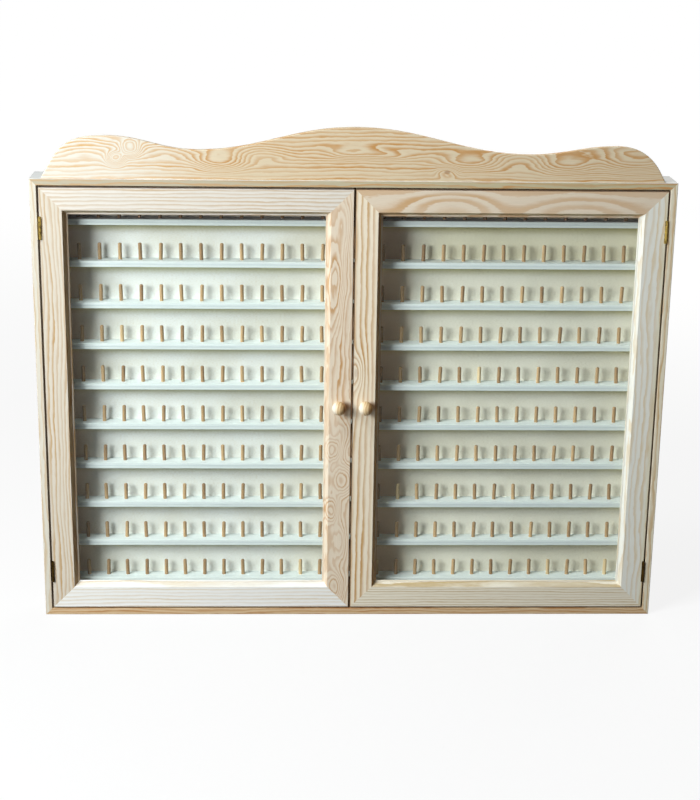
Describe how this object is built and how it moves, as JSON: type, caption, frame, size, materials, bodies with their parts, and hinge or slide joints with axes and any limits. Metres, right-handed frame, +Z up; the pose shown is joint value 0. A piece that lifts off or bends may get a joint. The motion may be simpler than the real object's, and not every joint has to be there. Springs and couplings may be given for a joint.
{
  "type": "thimble display case",
  "caption": "Shallow pine wall case with pegged shelves for thimbles, a curved crest board and two glazed doors on brass butt hinges.",
  "frame": {"origin": "middle of the underside of the bottom board, half way between the case's front and back faces", "axes": "+X to the right as seen from the front, +Y towards the wall, +Z up; the doors face -Y"},
  "size_m": [0.85, 0.0842, 0.681],
  "materials": {
    "case_pine": "planed pine, bare, satin",
    "crest_pine": "planed pine, bare, lively grain",
    "door_pine": "planed and moulded pine, bare, satin",
    "shelf_pine": "planed pale pine, bare",
    "back_board": "smooth pale plywood",
    "peg_wood": "plain dowel",
    "knob_wood": "turned pine, sanded smooth",
    "pane_glass": "clear float glass",
    "hinge_brass": "plated, slightly dulled",
    "zinc_steel": "zinc plated",
    "catch_plastic": "moulded, off white"
  },
  "bodies": {
    "case": {"top_board": "case_pine", "bottom_board": "case_pine", "left_side": "case_pine", "right_side": "case_pine", "crest_board": "crest_pine", "back_panel": "back_board", "shelf_01": "shelf_pine", "shelf_02": "shelf_pine", "shelf_03": "shelf_pine", "shelf_04": "shelf_pine", "shelf_05": "shelf_pine", "shelf_06": "shelf_pine", "shelf_07": "shelf_pine", "shelf_08": "shelf_pine", "shelf_09": "shelf_pine", "shelf_10": "shelf_pine", "pegs_01": "peg_wood", "pegs_02": "peg_wood", "pegs_03": "peg_wood", "pegs_04": "peg_wood", "pegs_05": "peg_wood", "pegs_06": "peg_wood", "pegs_07": "peg_wood", "pegs_08": "peg_wood", "pegs_09": "peg_wood", "pegs_10": "peg_wood", "left_hinge_case_leaves": "hinge_brass", "right_hinge_case_leaves": "hinge_brass", "hinge_pins": "hinge_brass", "case_small_screws": "hinge_brass", "back_panel_pins": "zinc_steel", "crest_screws": "zinc_steel", "hanging_plate_screws": "zinc_steel", "hanging_plates": "zinc_steel", "catch_magnets": "zinc_steel", "catch_housings": "catch_plastic"},
    "left_door": {"left_door_hinge_stile": "door_pine", "left_door_lock_stile": "door_pine", "left_door_top_rail": "door_pine", "left_door_bottom_rail": "door_pine", "left_door_glass": "pane_glass", "left_door_glazing_beads": "door_pine", "left_door_knob": "knob_wood", "left_door_knob_screw": "zinc_steel", "left_door_strike_plate": "zinc_steel", "left_door_hinge_leaves": "hinge_brass", "left_door_small_screws": "hinge_brass"},
    "right_door": {"right_door_hinge_stile": "door_pine", "right_door_lock_stile": "door_pine", "right_door_top_rail": "door_pine", "right_door_bottom_rail": "door_pine", "right_door_glass": "pane_glass", "right_door_glazing_beads": "door_pine", "right_door_knob": "knob_wood", "right_door_knob_screw": "zinc_steel", "right_door_strike_plate": "zinc_steel", "right_door_hinge_leaves": "hinge_brass", "right_door_small_screws": "hinge_brass"}
  },
  "joints": [
    {"name": "left_door_hinge", "type": "hinge", "parent": "case", "child": "left_door", "pos_m": [-0.4128, -0.031, 0.306], "axis": [0, 0, -1], "range_deg": [0, 180]},
    {"name": "right_door_hinge", "type": "hinge", "parent": "case", "child": "right_door", "pos_m": [0.4128, -0.031, 0.306], "axis": [0, 0, 1], "range_deg": [0, 180]}
  ]
}
